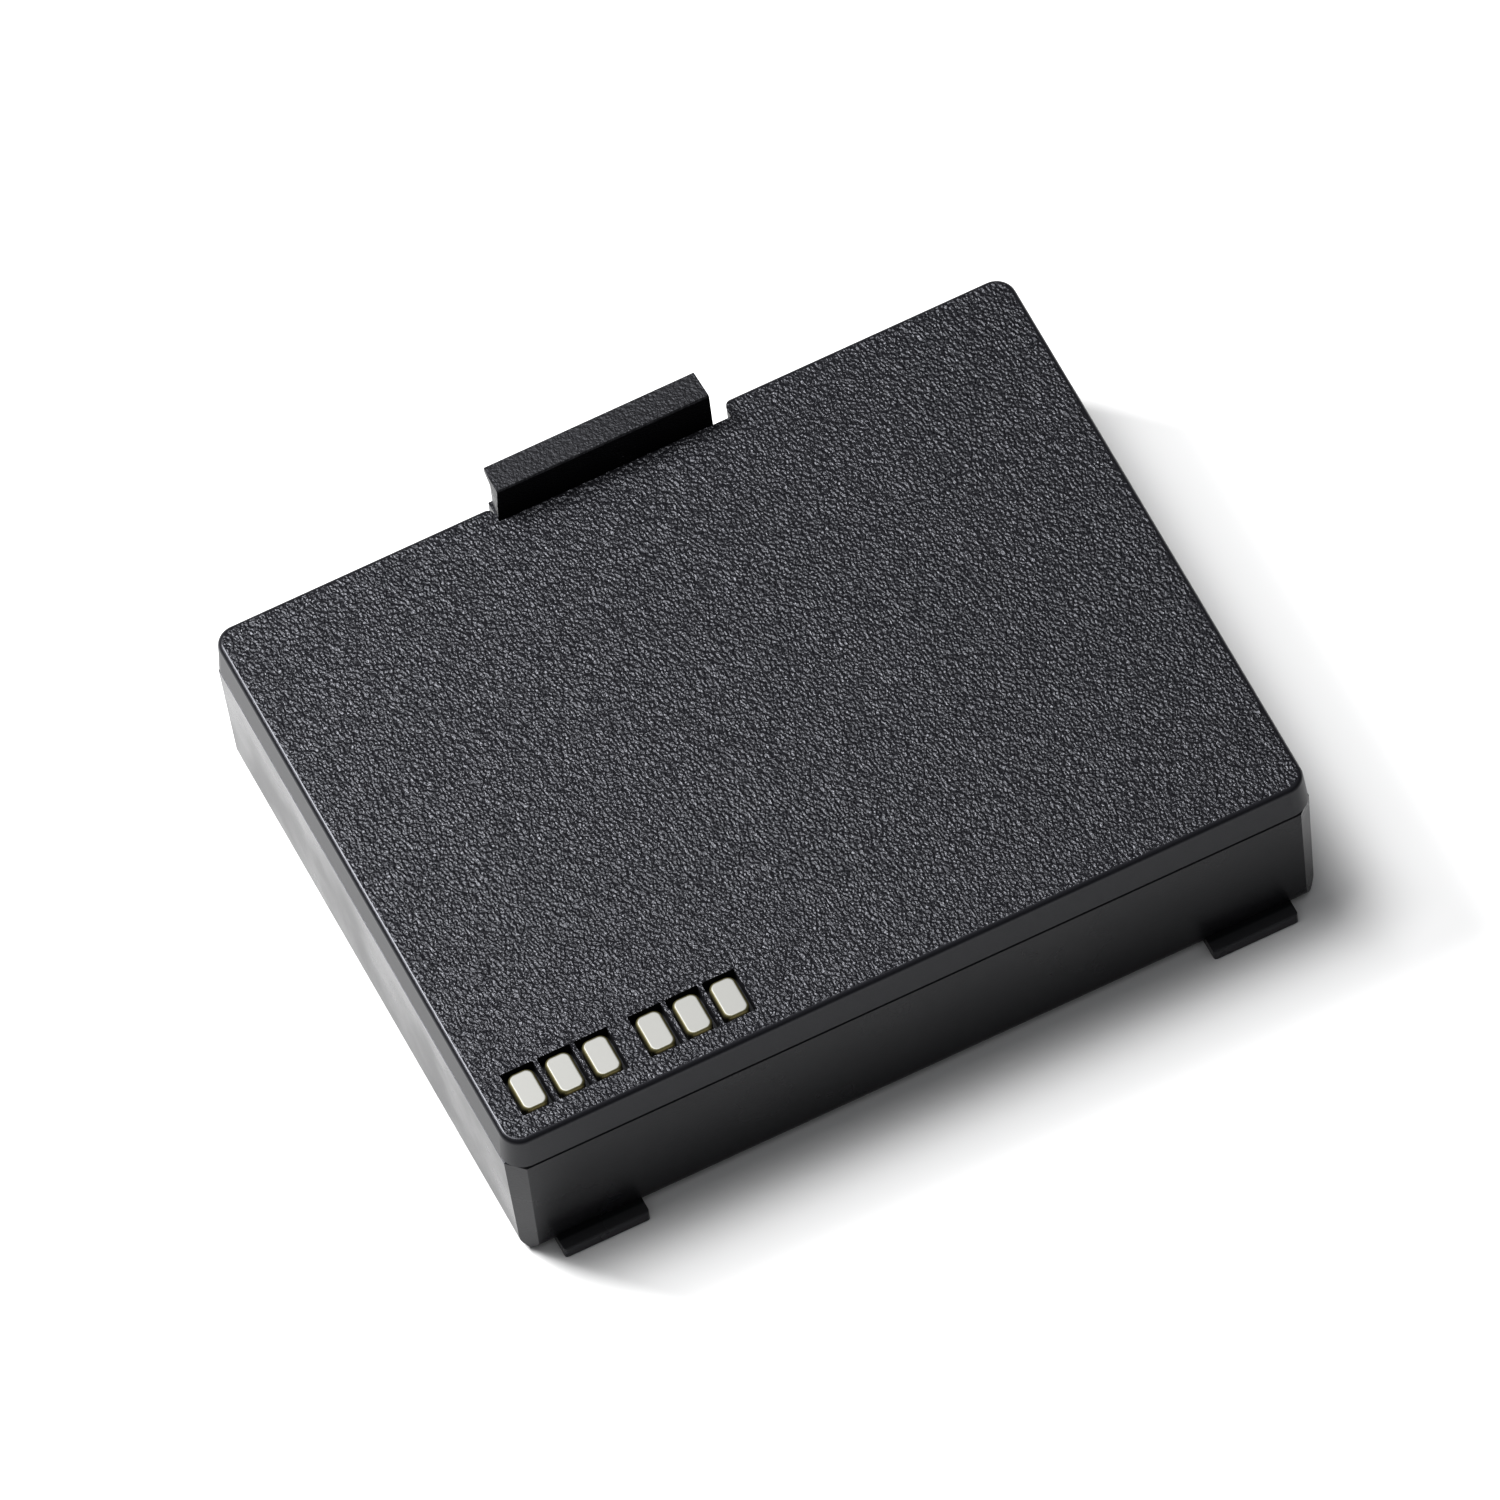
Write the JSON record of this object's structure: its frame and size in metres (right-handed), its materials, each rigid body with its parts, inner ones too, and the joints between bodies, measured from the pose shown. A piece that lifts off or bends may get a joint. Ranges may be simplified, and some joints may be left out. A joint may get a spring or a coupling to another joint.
{
  "type": "prismatic battery pack",
  "caption": "Flat rectangular lithium-ion battery pack: two-shell black case, flat prismatic cells, recessed contact row, front locating tabs and a sprung rear latch.",
  "frame": {"origin": "centre of the pack's footprint, including the tabs and the latch's lip, on the face it rests on", "axes": "+Z out of the contact face, +Y from the locating tabs towards the latch, +X along the long side with the contacts at the -X end"},
  "size_m": [0.07, 0.0567, 0.0201],
  "materials": {
    "case_plastic": "fine satin-grained black moulded plastic",
    "cover_plastic": "black moulded plastic, coarse leather grain on the top face",
    "latch_plastic": "fine-grained black moulded plastic",
    "pin_steel": "ground steel rod",
    "spring_steel": "drawn spring wire",
    "contact_plating": "bright pale plating with a warm tint at the bent edges",
    "carrier_plastic": "dull black moulded plastic",
    "board": "green solder mask",
    "chip_plastic": "black moulding compound",
    "resistor": "dark lacquered metal strip",
    "fuse_ceramic": "pale ceramic",
    "capacitor": "tan ceramic",
    "thermistor_glass": "dark epoxy bead",
    "cutoff": "nickel-plated cutoff",
    "can_aluminium": "deep-drawn aluminium",
    "roll": "wound electrode foil with separator",
    "gasket": "dark insulating seal",
    "tape": "white double-sided foam tape",
    "foam": "closed-cell foam",
    "nickel": "nickel strip with spot-weld marks",
    "red_wire": "red insulation",
    "paper": "barley-paper insulation",
    "label": "blank silver-grey label film"
  },
  "bodies": {
    "pack": {"bottom_case": "case_plastic", "top_cover": "cover_plastic", "latch_pin": "pin_steel", "contact_1": "contact_plating", "contact_2": "contact_plating", "contact_3": "contact_plating", "contact_4": "contact_plating", "contact_5": "contact_plating", "contact_6": "contact_plating", "contact_carrier": "carrier_plastic", "circuit_board": "board", "protection_chip": "chip_plastic", "switch_transistors": "chip_plastic", "fuel_gauge_chip": "chip_plastic", "sense_resistor": "resistor", "chip_fuse": "fuse_ceramic", "board_capacitors": "capacitor", "thermistor": "thermistor_glass", "thermal_cutoff": "cutoff", "lower_cell_can": "can_aluminium", "lower_cell_cap": "can_aluminium", "lower_electrode_roll": "roll", "lower_terminal_gasket": "gasket", "lower_terminal_rivet": "nickel", "lower_fill_plug": "can_aluminium", "upper_cell_can": "can_aluminium", "upper_cell_cap": "can_aluminium", "upper_electrode_roll": "roll", "upper_terminal_gasket": "gasket", "upper_terminal_rivet": "nickel", "upper_fill_plug": "can_aluminium", "cell_tape": "tape", "floor_foam": "foam", "top_foam": "foam", "positive_strip": "nickel", "negative_strip": "nickel", "series_strip": "nickel", "sense_lead": "red_wire", "end_insulator": "paper", "rating_label": "label"},
    "latch": {"latch": "latch_plastic", "latch_spring": "spring_steel"}
  },
  "joints": [
    {"name": "latch_pivot", "type": "hinge", "parent": "pack", "child": "latch", "pos_m": [0, 0.0263, 0.01265], "axis": [1, 0, 0], "range_deg": [0, 5], "stiffness_Nm_per_rad": 0.01, "springref_deg": -11.46}
  ]
}
